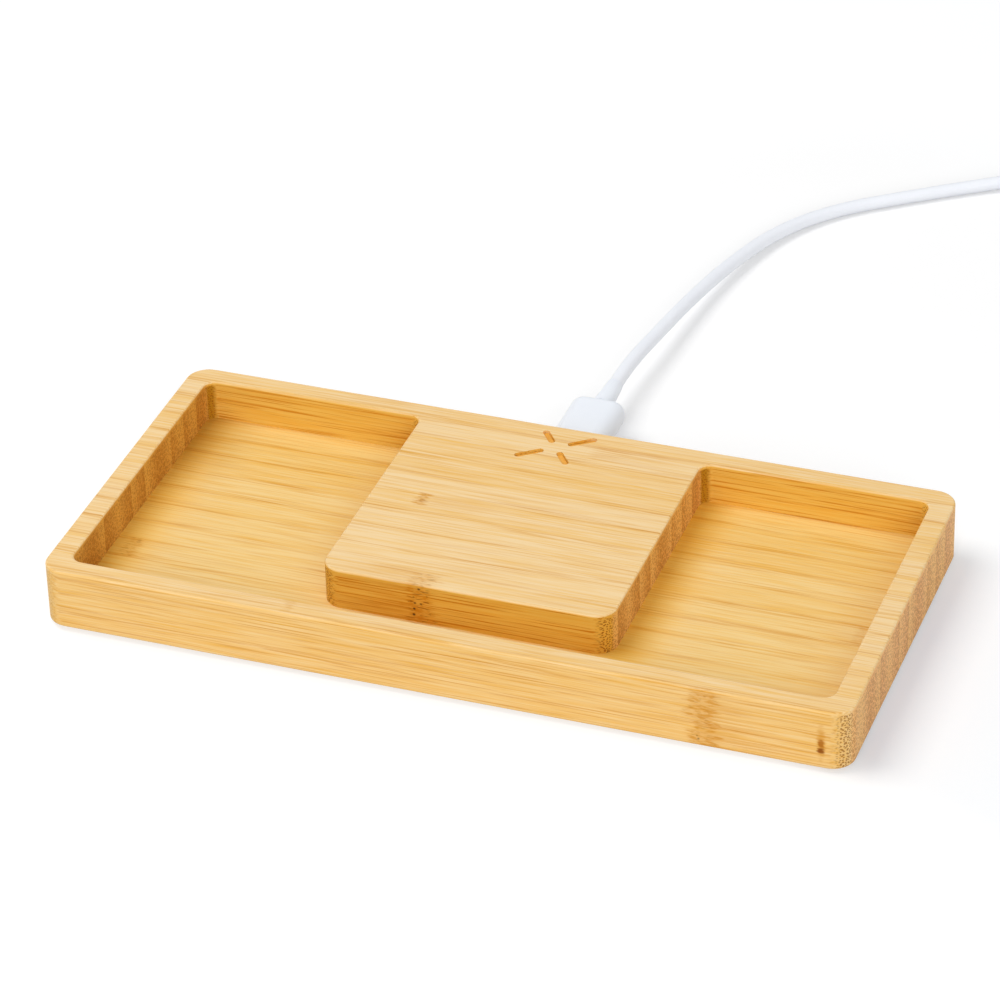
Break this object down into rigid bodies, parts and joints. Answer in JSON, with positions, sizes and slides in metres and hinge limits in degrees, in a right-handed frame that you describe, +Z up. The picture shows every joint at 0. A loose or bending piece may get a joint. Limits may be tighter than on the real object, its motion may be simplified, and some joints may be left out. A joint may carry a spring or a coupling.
{
  "type": "charging station organizer",
  "caption": "Low bamboo desk tray with a U-shaped pocket round a raised wireless charging pad, fed by a USB cable that plugs into its back wall.",
  "frame": {"origin": "middle of the tray's plan, on the surface that its feet stand on", "axes": "+X along the tray to the right, +Y to the back where the cable leaves, +Z up"},
  "size_m": [0.2111, 0.2565, 0.0145],
  "materials": {
    "bamboo": "sanded, clear matt oil",
    "amber_diffuser": "frosted amber",
    "cover_plastic": "fine moulded texture",
    "screw_steel": "zinc plated",
    "foot_rubber": "matt",
    "coil_tape": "double-sided tape",
    "coil_copper": "enamelled",
    "ferrite": "matt, sintered",
    "thermistor_epoxy": "epoxy bead",
    "board_laminate": "green solder mask",
    "chip_epoxy": "matt moulding",
    "capacitor_ceramic": "fired ceramic",
    "led_lens": "clear",
    "shell_steel": "nickel plated",
    "contact_polymer": "matt moulding",
    "white_plastic": "satin moulding",
    "cable_jacket": "satin jacket",
    "tie_fabric": "woven band"
  },
  "bodies": {
    "tray": {"tray_body": "bamboo", "light_guide": "amber_diffuser", "bottom_cover": "cover_plastic", "cover_screws": "screw_steel", "coil_adhesive": "coil_tape", "transmitter_coil": "coil_copper", "ferrite_shield": "ferrite", "coil_thermistor": "thermistor_epoxy", "circuit_board": "board_laminate", "board_screws": "screw_steel", "controller_chip": "chip_epoxy", "bridge_transistors": "chip_epoxy", "resonant_capacitors": "capacitor_ceramic", "input_capacitors": "capacitor_ceramic", "sense_resistor": "chip_epoxy", "indicator_led": "led_lens", "usb_receptacle_shell": "shell_steel", "usb_receptacle_tongue": "contact_polymer", "foot_front_left": "foot_rubber", "foot_front_right": "foot_rubber", "foot_back_left": "foot_rubber", "foot_back_right": "foot_rubber"},
    "cable": {"plug_c_shell": "shell_steel", "plug_c_insert": "contact_polymer", "plug_c_overmould": "white_plastic", "plug_c_strain_relief": "white_plastic", "cable_run": "cable_jacket", "cable_coil": "cable_jacket", "cable_tail": "cable_jacket", "cable_tie": "tie_fabric", "plug_a_strain_relief": "white_plastic", "plug_a_overmould": "white_plastic", "plug_a_shell": "shell_steel", "plug_a_insert": "white_plastic"}
  },
  "joints": [
    {"name": "plug_slide", "type": "slide", "parent": "tray", "child": "cable", "axis": [0, 1, 0], "range_m": [0, 0.012]}
  ]
}
